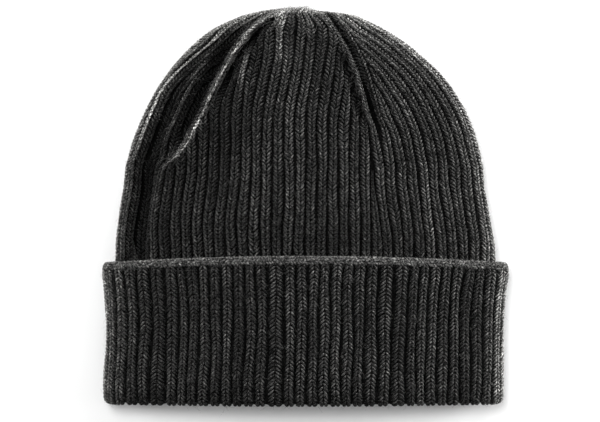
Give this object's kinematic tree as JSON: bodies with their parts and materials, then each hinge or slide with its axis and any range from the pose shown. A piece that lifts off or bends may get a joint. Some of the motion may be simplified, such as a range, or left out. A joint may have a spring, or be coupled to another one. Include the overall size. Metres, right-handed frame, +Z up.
{
  "type": "knitted wool beanie with a turned-up cuff",
  "caption": "Chunky ribbed knit cap with a gathered tip and a deep turned-up cuff, lying flat on its back with the mouth open.",
  "frame": {"origin": "on the surface that the beanie lies on, under the middle of its bounding box", "axes": "+Z up off the surface, through the front; +Y from the hem to the gathered tip; +X to the right, seen from the front"},
  "size_m": [0.2212, 0.2162, 0.028],
  "materials": {
    "crown_wool": "matt charcoal heather wool in a 1 by 1 rib",
    "cuff_wool": "matt charcoal heather wool in a 1 by 1 rib"
  },
  "bodies": {
    "root": {"crown": "crown_wool", "cuff": "cuff_wool"}
  },
  "joints": []
}
